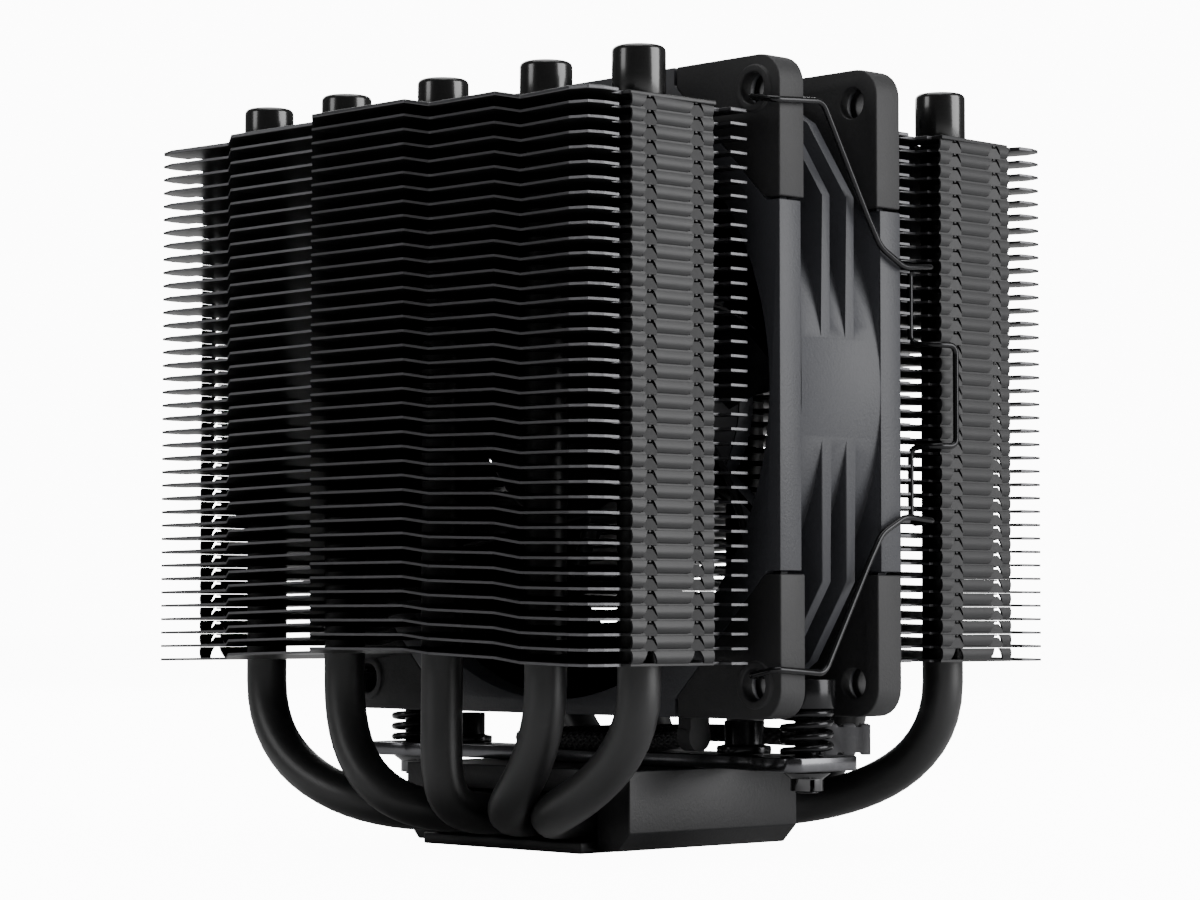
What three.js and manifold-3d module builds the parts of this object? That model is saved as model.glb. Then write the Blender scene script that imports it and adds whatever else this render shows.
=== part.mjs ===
// A twin-tower processor cooler with a fan between its towers.
// Millimetres, +Z up. X runs along the airflow, Y across it, and the origin is the
// centre of the cold plate's contact face. The front tower stands on the -X side.
import * as THREE from "three";
import { mergeVertices } from "three/addons/utils/BufferGeometryUtils.js";
import Module from "manifold-3d";

const wasm = await Module();
wasm.setup();

// Driving dimensions
const gap = 0.3;
const towerX = 31.2;
const finInnerX = 15.3;
const wallInnerX = 23.4;
const wallOuterX = 39;
const finSideY = 45.3;
const wallSideY = 47.1;
const wallThick = 0.5;
const finBottomZ = 27;
const finPitch = 6;
const finCount = 13;
const finThick = 1.2;
const topFinZ = 102.8;
const topFinThick = 0.6;
const grooveX = 20.5;
const grooveHalf = 2;
const grooveDepth = 2.3;

const pipeR = 3;
const pipeLegY = [-40.3, -21.8, 0, 21.8, 40.3];
const pipeBasePitch = 6.9;
const pipeBaseZ = 5;
const pipeTopZ = 107.4;
const capR = 3.7;
const capTopZ = 110.8;

const plateHalfX = 20;
const plateHalfY = 17;
const plateThick = 1.7;
const blockHalfX = 17.2;
const blockHalfY = 24;
const blockTopZ = 11.6;
const blockBevel = 2.6;

const barBottomZ = 12;
const barThick = 2;
const earHalfX = 7;
const earEndY = 46.3;
const waistHalfX = 4.6;
const screwY = 42;
const screwHoleR = 2.1;
const pillarY = 29.8;
const springTopZ = 20.7;
const springR = 3.3;
const springWireR = 0.55;
const springTurns = 3;

const fanHalf = 46;
const fanHalfDepth = 12.5;
const fanY = -2.8;
const fanZ = 65.4;
const flangeThick = 4.3;
const padThick = 5;
const padSize = 20;
const holePitch = 41.25;
const boreR = 43.9;
const hubR = 18;
const bladeTipR = 42.6;
const bladeCount = 9;

const wireR = 0.45;
const cableR = 1.3;

// Finishes
const finish = {
  coatedFin: [0x17171a, 0.5, 0.6],
  coatedPipe: [0x151517, 0.38, 0.6],
  coatedBase: [0x2a2a2d, 0.42, 0.6],
  copper: [0x8f8f92, 0.25, 1],
  glossCap: [0x101011, 0.18, 0.5],
  steelBar: [0x3a3a3d, 0.22, 0.9],
  blackSteel: [0x1c1c1e, 0.25, 0.9],
  framePlastic: [0x45464b, 0.55, 0],
  rotorPlastic: [0x1d1d20, 0.5, 0],
  rubber: [0x1b1b1e, 0.8, 0],
  brightSteel: [0x9a9a9d, 0.25, 1],
  magnet: [0x2c2b2c, 0.7, 0.2],
  bronze: [0x8c6a3c, 0.4, 1],
  board: [0x1f4a2f, 0.5, 0],
  sleeve: [0x141415, 0.85, 0],
  plug: [0x2b2b2d, 0.5, 0],
};

const cooler = new THREE.Group();

function addPart(name, geometry, look) {
  const [color, roughness, metalness] = finish[look];
  const material = new THREE.MeshStandardMaterial({ color, roughness, metalness });
  const mesh = new THREE.Mesh(geometry, material);
  mesh.name = name;
  cooler.add(mesh);
  return mesh;
}

// Solids and geometries, back and forth
function solid(geometry) {
  const bare = new THREE.BufferGeometry();
  const source = geometry.index ? geometry.toNonIndexed() : geometry;
  bare.setAttribute("position", source.getAttribute("position").clone());
  const merged = mergeVertices(bare, 1e-4);
  return new wasm.Manifold(
    new wasm.Mesh({
      numProp: 3,
      vertProperties: merged.attributes.position.array,
      triVerts: new Uint32Array(merged.index.array),
    }),
  );
}

function geometryOf(manifold) {
  const mesh = manifold.getMesh();
  const geometry = new THREE.BufferGeometry();
  geometry.setAttribute("position", new THREE.BufferAttribute(mesh.vertProperties, 3));
  geometry.setIndex(new THREE.BufferAttribute(mesh.triVerts, 1));
  const faceted = geometry.toNonIndexed();
  faceted.computeVertexNormals();
  return faceted;
}

// Basic shapes, placed by their limits
function box(x0, x1, y0, y1, z0, z1) {
  const geometry = new THREE.BoxGeometry(x1 - x0, y1 - y0, z1 - z0);
  return geometry.translate((x0 + x1) / 2, (y0 + y1) / 2, (z0 + z1) / 2);
}

function rodZ(radius, x, y, z0, z1, sides = 12) {
  const geometry = new THREE.CylinderGeometry(radius, radius, z1 - z0, sides);
  return geometry.rotateX(Math.PI / 2).translate(x, y, (z0 + z1) / 2);
}

function rodX(radius, x0, x1, y, z, sides = 24) {
  const geometry = new THREE.CylinderGeometry(radius, radius, x1 - x0, sides);
  return geometry.rotateZ(Math.PI / 2).translate((x0 + x1) / 2, y, z);
}

function outline(points) {
  return new THREE.Shape(points.map(([x, y]) => new THREE.Vector2(x, y)));
}

// A flat plate in XY from its outline
function plateZ(shape, z0, z1) {
  const settings = { depth: z1 - z0, bevelEnabled: false, curveSegments: 4 };
  return new THREE.ExtrudeGeometry(shape, settings).translate(0, 0, z0);
}

// A flat plate square to X, from an outline in (Y, Z) about the fan's axis
function plateX(shape, x0, x1) {
  const settings = { depth: x1 - x0, bevelEnabled: false, curveSegments: 3 };
  const geometry = new THREE.ExtrudeGeometry(shape, settings);
  geometry.rotateX(Math.PI / 2).rotateZ(Math.PI / 2);
  return geometry.translate(x0, fanY, fanZ);
}

function tube(curve, radius, steps, sides) {
  const section = new THREE.Shape();
  for (let i = 0; i < sides; i += 1) {
    const angle = (2 * Math.PI * i) / sides;
    const point = [radius * Math.cos(angle), radius * Math.sin(angle)];
    if (i === 0) section.moveTo(...point);
    else section.lineTo(...point);
  }
  return new THREE.ExtrudeGeometry(section, { steps, extrudePath: curve, bevelEnabled: false });
}

// A lathed ring or cup about the fan's axis, profile as [radius, x] pairs
function turnedX(profile, segments = 24) {
  const points = profile.map(([r, x]) => new THREE.Vector2(r, x));
  const geometry = new THREE.LatheGeometry(points, segments);
  return geometry.rotateZ(-Math.PI / 2).translate(0, fanY, fanZ);
}

function turnedZ(profile, x, y, segments = 12) {
  const points = profile.map(([r, z]) => new THREE.Vector2(r, z));
  return new THREE.LatheGeometry(points, segments).rotateX(Math.PI / 2).translate(x, y, 0);
}

// Fins. One side of the outline, from the airflow's outer edge to the inner edge
const finHalfOutline = [
  [47.3, 10.1],
  [45, 12.8],
  [47.3, 28.9],
  [45.4, 32],
  [47.3, 43.6],
  [46.5, 46.4],
  [44.2, 47.1],
  [wallOuterX + 2.4, 47],
  [wallOuterX + 2.2, finSideY],
  [wallOuterX + 0.4, finSideY],
  [wallOuterX, wallSideY - wallThick / 2],
  [wallInnerX, wallSideY - wallThick / 2],
  [wallInnerX, finSideY],
  [grooveX + grooveHalf, finSideY],
  [grooveX + grooveHalf, finSideY - grooveDepth],
  [grooveX - grooveHalf, finSideY - grooveDepth],
  [grooveX - grooveHalf, finSideY],
  [finInnerX, finSideY],
];

// How far each fin stands above its edge at a distance from the middle: two soft folds
const finRise = [
  [10.1, 1.9],
  [12.8, 1.35],
  [28.9, 0.9],
  [32, 0.25],
  [finSideY, 0],
  [wallSideY + 1, 0],
];

function finShape(side, pipeHole) {
  const near = finHalfOutline.map(([x, y]) => [side * x, -y]).reverse();
  const far = finHalfOutline.map(([x, y]) => [side * x, y]);
  const shape = outline([...far, ...near]);
  for (const y of pipeLegY) {
    const hole = pipeHole.map(([u, v]) => new THREE.Vector2(side * towerX + u, y + v));
    shape.holes.push(new THREE.Path(hole));
  }
  return shape;
}

function ringPoints(radius, sides) {
  const points = [];
  for (let i = 0; i < sides; i += 1) {
    const angle = (2 * Math.PI * (i + 0.5)) / sides;
    points.push([radius * Math.cos(angle), radius * Math.sin(angle)]);
  }
  return points;
}

// A folded sheet wider than the fin, to be cut to the fin's outline
function foldedSheet(z, thick) {
  const near = finRise.map(([y, rise]) => [-y, z + rise]).reverse();
  const far = finRise.map(([y, rise]) => [y, z + rise]);
  const under = [...near, ...far];
  const over = under.map(([y, height]) => [y, height + thick]).reverse();
  return solid(plateX(outline([...under, ...over]), -50, 50).translate(0, -fanY, -fanZ));
}

function finStack(side) {
  const squareHole = ringPoints((pipeR + gap) * Math.SQRT2, 4);
  const block = solid(plateZ(finShape(side, squareHole), finBottomZ - 1, topFinZ + 2));
  let sheets = foldedSheet(finBottomZ, finThick);
  for (let i = 1; i < finCount; i += 1) {
    sheets = sheets.add(foldedSheet(finBottomZ + i * finPitch, finThick));
  }
  let stack = block.intersect(sheets);
  const wallX = [side * wallInnerX, side * wallOuterX].sort((a, b) => a - b);
  for (const sideY of [-1, 1]) {
    const wallY = [sideY * (wallSideY - wallThick), sideY * wallSideY].sort((a, b) => a - b);
    const wall = box(...wallX, ...wallY, finBottomZ - 0.1, topFinZ - gap);
    stack = stack.add(solid(wall));
  }
  return geometryOf(stack);
}

function buildTowers() {
  const capHole = ringPoints(capR + gap + 0.2, 10);
  for (const [side, place] of [[-1, "front"], [1, "rear"]]) {
    addPart(`fin_stack_${place}`, finStack(side), "coatedFin");
    const block = solid(plateZ(finShape(side, capHole), topFinZ - 1, topFinZ + 4));
    const topFin = block.intersect(foldedSheet(topFinZ, topFinThick));
    addPart(`top_fin_${place}`, geometryOf(topFin), "coatedFin");
  }
}

// Heat pipes. Each rises through both towers and crosses under them through the base
function pipeCurve(legY, baseY) {
  const path = new THREE.CurvePath();
  const point = (x, y, z) => new THREE.Vector3(x, y, z);
  const bendTopZ = 24;
  const entryX = 18;
  const half = [
    [point(-towerX, legY, pipeTopZ), point(-towerX, legY, bendTopZ)],
    [
      point(-towerX, legY, bendTopZ),
      point(-towerX, legY, 8),
      point(-33, baseY, pipeBaseZ),
      point(-entryX, baseY, pipeBaseZ),
    ],
  ];
  const mirror = (p) => point(-p.x, p.y, p.z);
  path.add(new THREE.LineCurve3(...half[0]));
  path.add(new THREE.CubicBezierCurve3(...half[1]));
  path.add(new THREE.LineCurve3(half[1][3], mirror(half[1][3])));
  path.add(new THREE.CubicBezierCurve3(...half[1].map(mirror).reverse()));
  path.add(new THREE.LineCurve3(...half[0].map(mirror).reverse()));
  return path;
}

// A tube whose rings stand where the pipe bends and nowhere else
function pipeGeometry(legY, baseY, sides) {
  const path = pipeCurve(legY, baseY);
  const bendSteps = 10;
  const centres = [];
  const tangents = [];
  for (const piece of path.curves) {
    const steps = piece.isLineCurve3 ? 1 : bendSteps;
    const first = centres.length === 0 ? 0 : 1;
    for (let i = first; i <= steps; i += 1) {
      centres.push(piece.getPoint(i / steps));
      tangents.push(piece.getTangent(i / steps).normalize());
    }
  }
  const positions = [];
  const index = [];
  const across = new THREE.Vector3(0, 1, 0);
  centres.forEach((centre, ring) => {
    const tangent = tangents[ring];
    across.addScaledVector(tangent, -across.dot(tangent)).normalize();
    const other = new THREE.Vector3().crossVectors(tangent, across);
    for (let k = 0; k < sides; k += 1) {
      const angle = (2 * Math.PI * (k + 0.5)) / sides;
      const p = centre.clone();
      p.addScaledVector(across, pipeR * Math.cos(angle));
      p.addScaledVector(other, pipeR * Math.sin(angle));
      positions.push(p.x, p.y, p.z);
    }
  });
  const ringAt = (ring, k) => ring * sides + (k % sides);
  for (let ring = 0; ring < centres.length - 1; ring += 1) {
    for (let k = 0; k < sides; k += 1) {
      const a = ringAt(ring, k);
      const b = ringAt(ring, k + 1);
      const c = ringAt(ring + 1, k + 1);
      const d = ringAt(ring + 1, k);
      index.push(a, b, c, a, c, d);
    }
  }
  const last = centres.length - 1;
  for (let k = 1; k < sides - 1; k += 1) {
    index.push(ringAt(0, 0), ringAt(0, k + 1), ringAt(0, k));
    index.push(ringAt(last, 0), ringAt(last, k), ringAt(last, k + 1));
  }
  const geometry = new THREE.BufferGeometry();
  geometry.setAttribute("position", new THREE.Float32BufferAttribute(positions, 3));
  geometry.setIndex(index);
  const faceted = geometry.toNonIndexed();
  faceted.computeVertexNormals();
  return faceted;
}

function buildPipes() {
  const boreR = pipeR + gap;
  const boreTopZ = pipeTopZ + gap;
  const capBottomZ = topFinZ + topFinThick + gap;
  const capProfile = [
    [0, boreTopZ],
    [boreR, boreTopZ],
    [boreR, capBottomZ],
    [capR, capBottomZ],
    [capR, capTopZ - 0.7],
    [capR - 0.7, capTopZ],
    [0, capTopZ],
  ];
  pipeLegY.forEach((legY, i) => {
    const baseY = (i - 2) * pipeBasePitch;
    addPart(`heat_pipe_${i + 1}`, pipeGeometry(legY, baseY, 9), "coatedPipe");
    for (const [side, place] of [[-1, "front"], [1, "rear"]]) {
      const cap = turnedZ(capProfile, side * towerX, legY, 9);
      addPart(`pipe_cap_${place}_${i + 1}`, geometryOf(solid(cap)), "glossCap");
    }
  });
}

// Base: a thin cold plate, and a bevelled block whose channel holds the pipes
function buildBase() {
  const plate = box(-plateHalfX, plateHalfX, -plateHalfY, plateHalfY, 0, plateThick);
  addPart("cold_plate", plate, "copper");
  const blockBottomZ = 0.4;
  const bevelY = blockHalfY - blockBevel;
  const channelY = 2 * pipeBasePitch + pipeR + 0.55;
  const channelZ = pipeBaseZ + pipeR + gap;
  const profile = outline([
    [-bevelY, blockBottomZ],
    [-channelY, blockBottomZ],
    [-channelY, channelZ],
    [channelY, channelZ],
    [channelY, blockBottomZ],
    [bevelY, blockBottomZ],
    [blockHalfY, blockBottomZ + blockBevel],
    [blockHalfY, blockTopZ],
    [-blockHalfY, blockTopZ],
    [-blockHalfY, blockBottomZ + blockBevel],
  ]);
  const block = plateX(profile, -blockHalfX, blockHalfX).translate(0, -fanY, -fanZ);
  addPart("base_block", block, "coatedBase");
}

// Mounting bar: a waisted strap over the block, with an ear for each screw
function barShape() {
  const neckY = 26;
  const shoulderY = 38;
  const corner = 1.2;
  const shape = new THREE.Shape();
  shape.moveTo(waistHalfX, -neckY);
  shape.lineTo(waistHalfX, neckY);
  shape.quadraticCurveTo(waistHalfX, shoulderY - 4, earHalfX, shoulderY);
  shape.lineTo(earHalfX, earEndY - corner);
  shape.lineTo(earHalfX - corner, earEndY);
  shape.lineTo(-earHalfX + corner, earEndY);
  shape.lineTo(-earHalfX, earEndY - corner);
  shape.lineTo(-earHalfX, shoulderY);
  shape.quadraticCurveTo(-waistHalfX, shoulderY - 4, -waistHalfX, neckY);
  shape.lineTo(-waistHalfX, -neckY);
  shape.quadraticCurveTo(-waistHalfX, -shoulderY + 4, -earHalfX, -shoulderY);
  shape.lineTo(-earHalfX, -earEndY + corner);
  shape.lineTo(-earHalfX + corner, -earEndY);
  shape.lineTo(earHalfX - corner, -earEndY);
  shape.lineTo(earHalfX, -earEndY + corner);
  shape.lineTo(earHalfX, -shoulderY);
  shape.quadraticCurveTo(waistHalfX, -shoulderY + 4, waistHalfX, -neckY);
  for (const y of [-screwY, screwY]) {
    const hole = ringPoints(screwHoleR, 12).map(([u, v]) => new THREE.Vector2(u, y + v));
    shape.holes.push(new THREE.Path(hole));
  }
  return shape;
}

function buildBar() {
  const barTopZ = barBottomZ + barThick;
  addPart("mounting_bar", geometryOf(solid(plateZ(barShape(), barBottomZ, barTopZ))), "steelBar");
  const pillarProfile = [
    [0, barTopZ + gap],
    [3.9, barTopZ + gap],
    [3.9, barTopZ + 1.1],
    [2.8, barTopZ + 1.4],
    [2.8, 18.7],
    [0, 18.7],
  ];
  for (const [sign, place] of [[-1, "near"], [1, "far"]]) {
    const pillar = turnedZ(pillarProfile, 0, sign * pillarY);
    addPart(`bar_pillar_${place}`, geometryOf(solid(pillar)), "blackSteel");
  }
}

// Spring screws: shank and head, the coil under the head, and the collar that keeps them on
function springGeometry(y) {
  const barTopZ = barBottomZ + barThick;
  const z0 = barTopZ + gap + springWireR;
  const z1 = springTopZ - gap - springWireR;
  class Helix extends THREE.Curve {
    getPoint(t, target = new THREE.Vector3()) {
      const angle = 2 * Math.PI * springTurns * t;
      const x = springR * Math.cos(angle);
      return target.set(x, y + springR * Math.sin(angle), z0 + (z1 - z0) * t);
    }
  }
  return tube(new Helix(), springWireR, Math.round(springTurns * 11), 5);
}

function buildScrews() {
  const shankR = 1.7;
  const headR = 4;
  const headTopZ = 24.8;
  const collarTopZ = barBottomZ - gap;
  const collarBottomZ = 9.2;
  const tipZ = 8.9;
  for (const [sign, place] of [[-1, "near"], [1, "far"]]) {
    const y = sign * screwY;
    const head = solid(rodZ(headR, 0, y, springTopZ, headTopZ, 16));
    const shank = solid(rodZ(shankR, 0, y, tipZ, springTopZ + 1, 12));
    const slotA = solid(box(-2.2, 2.2, y - 0.5, y + 0.5, headTopZ - 1.8, headTopZ + 1));
    const slotB = solid(box(-0.5, 0.5, y - 2.2, y + 2.2, headTopZ - 1.8, headTopZ + 1));
    const screw = head.add(shank).subtract(slotA).subtract(slotB);
    addPart(`spring_screw_${place}`, geometryOf(screw), "blackSteel");
    addPart(`screw_spring_${place}`, springGeometry(y), "blackSteel");
    const collar = turnedZ(
      [
        [shankR + gap, collarBottomZ],
        [2.4, collarBottomZ],
        [2.4, collarTopZ - 0.8],
        [3.4, collarTopZ],
        [shankR + gap, collarTopZ],
        [shankR + gap, collarBottomZ],
      ],
      0,
      y,
    );
    addPart(`screw_collar_${place}`, geometryOf(solid(collar)), "brightSteel");
  }
}

// Fan frame. The corner outline is the one that the rubber pads and the thin webs share
function cornerShape(inset) {
  const e = fanHalf - inset;
  const inner = fanHalf - padSize + inset;
  const lip = 3;
  const round = 4;
  const shape = new THREE.Shape();
  shape.moveTo(e, inner);
  shape.lineTo(e, e - round);
  shape.quadraticCurveTo(e, e, e - round, e);
  shape.lineTo(inner, e);
  shape.lineTo(inner, e - lip);
  shape.lineTo(e - lip, inner);
  return shape;
}

function turned90(geometry, quarter) {
  geometry.translate(0, -fanY, -fanZ);
  geometry.rotateX((quarter * Math.PI) / 2);
  return geometry.translate(0, fanY, fanZ);
}

function squareShape(half, cut) {
  return outline([
    [half, -half + cut],
    [half, half - cut],
    [half - cut, half],
    [-half + cut, half],
    [-half, half - cut],
    [-half, -half + cut],
    [-half + cut, -half],
    [half - cut, -half],
  ]);
}

function webShape(grow) {
  const inner = 22 - grow;
  const outer = fanHalf - 1.6 + grow;
  return outline([
    [inner, inner],
    [outer, inner],
    [outer, outer - 2],
    [outer - 2, outer],
    [inner, outer],
  ]);
}

// The stiffening ribs' outline: straight sides, and corners drawn in towards the barrel
function ribShape() {
  const half = fanHalf - 0.6;
  const points = [];
  for (let quarter = 0; quarter < 4; quarter += 1) {
    const cos = Math.round(Math.cos((quarter * Math.PI) / 2));
    const sin = Math.round(Math.sin((quarter * Math.PI) / 2));
    for (const [u, v] of [[half, 27], [38.2, 38.2], [27, half]]) {
      points.push([u * cos - v * sin, u * sin + v * cos]);
    }
  }
  return outline(points);
}

const webHalfThick = 0.7;
const padMidX = fanHalfDepth - padThick / 2;
const flangeX = fanHalfDepth - flangeThick;

function cutBore(body, radius = boreR) {
  return body.subtract(solid(rodX(radius, -fanHalfDepth - 1, fanHalfDepth + 1, fanY, fanZ, 40)));
}

// The frame is one moulding. It is drawn as two flanges, a barrel and a motor mount
function fanFlange(side) {
  const span = [side * flangeX, side * fanHalfDepth].sort((a, b) => a - b);
  const webX = side * padMidX;
  let flange = solid(plateX(squareShape(fanHalf, padSize - 3), ...span));
  for (let quarter = 0; quarter < 4; quarter += 1) {
    const web = plateX(webShape(0), webX - webHalfThick, webX + webHalfThick);
    const pocket = plateX(cornerShape(-gap), ...padSpan(side));
    flange = flange.subtract(solid(turned90(pocket, quarter)));
    flange = flange.add(solid(turned90(web, quarter)));
  }
  flange = cutBore(flange);
  const cutLength = fanHalfDepth + 1;
  for (const u of [-holePitch, holePitch]) {
    for (const v of [-holePitch, holePitch]) {
      const hole = rodX(2.9, -cutLength, cutLength, fanY + u, fanZ + v, 12);
      flange = flange.subtract(solid(hole));
    }
  }
  return geometryOf(flange);
}

function fanBarrel() {
  const end = flangeX - gap;
  let barrel = solid(rodX(fanHalf - 0.05, -end, end, fanY, fanZ, 40));
  for (const rib of [[-3.4, -1.6], [1.6, 3.4]]) {
    barrel = barrel.add(solid(plateX(ribShape(), ...rib)));
  }
  return geometryOf(cutBore(barrel));
}

function padSpan(side) {
  const inside = fanHalfDepth - padThick - gap;
  const outside = fanHalfDepth + 1;
  return side > 0 ? [inside, outside] : [-outside, -inside];
}

// The motor's plate and arms on the air's way out, and the tube that holds the bearing
function motorMount() {
  const plateX0 = 9.6;
  const armHalf = 1.6;
  const tubeOuterR = 5;
  const bearingPocketR = 3.9;
  let mount = solid(rodX(hubR - 1, plateX0, fanHalfDepth, fanY, fanZ, 24));
  mount = mount.add(solid(rodX(tubeOuterR, -5.5, plateX0 + 1, fanY, fanZ, 16)));
  for (const degrees of [45, 135, 225, 315]) {
    const arm = box(plateX0 + 0.4, fanHalfDepth - 0.1, -armHalf, armHalf, hubR - 3, boreR - gap);
    arm.rotateX((degrees * Math.PI) / 180).translate(0, fanY, fanZ);
    mount = mount.add(solid(arm));
  }
  return geometryOf(mount.subtract(solid(rodX(bearingPocketR, -6, plateX0, fanY, fanZ, 16))));
}

function cornerPad(side, quarter) {
  const outside = side * fanHalfDepth;
  const inside = side * (fanHalfDepth - padThick);
  const span = [inside, outside].sort((a, b) => a - b);
  const web = side * padMidX;
  const half = webHalfThick + gap;
  let pad = solid(plateX(cornerShape(0), ...span));
  const ring = [outside - 0.5, outside + 0.5];
  pad = pad.add(solid(rodX(3.3, ...ring, fanY + holePitch, fanZ + holePitch, 12)));
  pad = pad.subtract(solid(plateX(webShape(gap), web - half, web + half)));
  pad = pad.subtract(solid(rodX(2.2, -20, 20, fanY + holePitch, fanZ + holePitch, 12)));
  return geometryOf(solid(turned90(geometryOf(pad), quarter)));
}

function bladeGeometry(angle) {
  const rootR = hubR - 0.5;
  const stations = 5;
  const half = [9, 8.6, 8.2, 7.8, 7.4];
  const sweep = [0, 0.05, 0.12, 0.21, 0.32];
  const thick = 0.7;
  const positions = [];
  const index = [];
  for (let i = 0; i < stations; i += 1) {
    const r = rootR + ((bladeTipR - rootR) * i) / (stations - 1);
    const wrap = (15 - 3.2 * i * 0.5) / r / 2;
    for (const [edge, face] of [[-1, -1], [1, -1], [1, 1], [-1, 1]]) {
      const a = angle + sweep[i] + edge * wrap;
      const x = -1.4 + edge * half[i] * 0.86 + face * thick * 0.5;
      positions.push(x, fanY + r * Math.cos(a), fanZ + r * Math.sin(a));
    }
  }
  const at = (i, k) => i * 4 + (k % 4);
  for (let i = 0; i < stations - 1; i += 1) {
    for (let k = 0; k < 4; k += 1) {
      index.push(at(i, k), at(i, k + 1), at(i + 1, k + 1), at(i, k), at(i + 1, k + 1), at(i + 1, k));
    }
  }
  index.push(at(0, 0), at(0, 2), at(0, 1), at(0, 0), at(0, 3), at(0, 2));
  const n = stations - 1;
  index.push(at(n, 0), at(n, 1), at(n, 2), at(n, 0), at(n, 2), at(n, 3));
  const geometry = new THREE.BufferGeometry();
  geometry.setAttribute("position", new THREE.Float32BufferAttribute(positions, 3));
  geometry.setIndex(index);
  return geometry.toNonIndexed();
}

function impeller() {
  const hubFront = -10.4;
  const hubBack = 8.6;
  const wall = 1.6;
  const cup = turnedX([
    [0, hubFront],
    [hubR - 1, hubFront],
    [hubR, hubFront + 1],
    [hubR, hubBack],
    [hubR - wall, hubBack],
    [hubR - wall, hubFront + wall],
    [0, hubFront + wall],
  ]);
  let rotor = solid(cup);
  if (rotor.volume() < 0) throw new Error("hub profile runs the wrong way");
  const core = turnedX([
    [0, hubFront + wall - 0.6],
    [hubR - wall + 0.1, hubFront + wall - 0.6],
    [hubR - wall + 0.1, hubBack + 1],
    [0, hubBack + 1],
  ]);
  for (let i = 0; i < bladeCount; i += 1) {
    const blade = solid(bladeGeometry((2 * Math.PI * i) / bladeCount));
    rotor = rotor.add(blade.subtract(solid(core)));
  }
  return geometryOf(rotor);
}

function ringX(innerR, outerR, x0, x1, segments = 24) {
  const profile = [
    [innerR, x0],
    [outerR, x0],
    [outerR, x1],
    [innerR, x1],
    [innerR, x0],
  ];
  return turnedX(profile, segments);
}

function buildFan() {
  addPart("fan_flange_front", fanFlange(-1), "framePlastic");
  addPart("fan_flange_rear", fanFlange(1), "framePlastic");
  addPart("fan_barrel", fanBarrel(), "framePlastic");
  addPart("fan_motor_mount", motorMount(), "framePlastic");
  const corners = ["upper_far", "lower_far", "lower_near", "upper_near"];
  for (const [side, place] of [[-1, "front"], [1, "rear"]]) {
    for (let i = 0; i < 4; i += 1) {
      const quarter = (4 - i) % 4;
      addPart(`fan_pad_${place}_${corners[i]}`, cornerPad(side, quarter), "rubber");
    }
  }
  addPart("impeller", impeller(), "rotorPlastic");
  addPart("magnet_ring", ringX(14, 16.1, -6, 4), "magnet");
  addPart("rotor_shaft", rodX(1.45, -8.5, 8.6, fanY, fanZ, 12), "brightSteel");
  addPart("bearing_sleeve", ringX(1.8, 3.6, -5.2, 9.2, 16), "bronze");
  addPart("stator", statorGeometry(), "brightSteel");
  addPart("circuit_board", ringX(5.4, 15.5, 7.6, 9.2), "board");
}

function statorGeometry() {
  let stator = solid(ringX(5.3, 8, -4, 4));
  for (let i = 0; i < 4; i += 1) {
    const arm = box(-3.2, 3.2, -2, 2, 7.4, 12).rotateX((i * Math.PI) / 2);
    const shoe = box(-3.6, 3.6, -5, 5, 11.4, 12.4).rotateX((i * Math.PI) / 2);
    stator = stator.add(solid(arm.translate(0, fanY, fanZ)));
    stator = stator.add(solid(shoe.translate(0, fanY, fanZ)));
  }
  return geometryOf(stator);
}

// Wire clips. One half of the route, from the finger loop up to the hook in the corner hole;
// across is the distance out from the tower's middle, and side is -1 on the near side
function clipHalf(fanSide) {
  const plane = fanSide + 0.8;
  const hole = fanSide - (fanHalf - holePitch);
  const mid = fanZ;
  const grooveY = finSideY - 0.9;
  const loopY = Math.max(plane - 0.9, wallSideY + 1.2);
  return [
    [24.6, loopY, mid],
    [24.6, loopY, mid + 5.6],
    [23.2, loopY, mid + 7.2],
    [21.4, loopY - 1.6, mid + 7.3],
    [20.6, grooveY, mid + 8.4],
    [20.6, grooveY, mid + 17.4],
    [19.6, (grooveY + plane) / 2, mid + 18.4],
    [17.6, plane, mid + 18.4],
    [13.4, plane, mid + 18.1],
    [8.8, plane, mid + 20.6],
    [5.1, plane, mid + 24.4],
    [-4.2, plane, mid + 37.6],
    [-5.9, plane, mid + 39.1],
    [-12.4, plane, mid + 39.1],
    [-14.1, plane - 1.2, mid + 39.3],
    [-14.2, hole + 0.8, mid + 40.8],
    [-13.2, hole, mid + 41.1],
    [-10.3, hole, mid + 41.1],
  ];
}

function clipGeometry(side, fanSide) {
  const half = clipHalf(fanSide).slice(1);
  const upper = half.map(([x, y, z]) => new THREE.Vector3(x, side * y, z));
  const lower = half.map(([x, y, z]) => new THREE.Vector3(x, side * y, 2 * fanZ - z)).reverse();
  const route = new THREE.CatmullRomCurve3([...lower, ...upper], false, "centripetal");
  return tube(route, wireR, 66, 5);
}

function buildClips() {
  addPart("fan_clip_near", clipGeometry(-1, fanHalf - fanY), "blackSteel");
  addPart("fan_clip_far", clipGeometry(1, fanHalf + fanY), "blackSteel");
}

// Fan lead: out of the relief under the frame, round under the fan, to its connector
const leadRoute = [
  [-6.5, -24.5, 16.6],
  [-6.5, -21, 15.8],
  [-6.6, -15, 15.5],
  [-6.8, -8, 15.4],
  [-6.8, 0, 15.4],
  [-6.2, 7, 15.4],
  [-3.4, 13, 15.4],
  [1.2, 16, 15.4],
  [6, 14.4, 15.5],
  [8.8, 9.6, 15.7],
  [9.6, 3, 16],
  [9.6, -5, 16.2],
  [9.4, -13, 16.4],
  [9.6, -20, 16.4],
  [10.4, -25, 16.2],
  [12.5, -29.5, 16],
];

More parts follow.
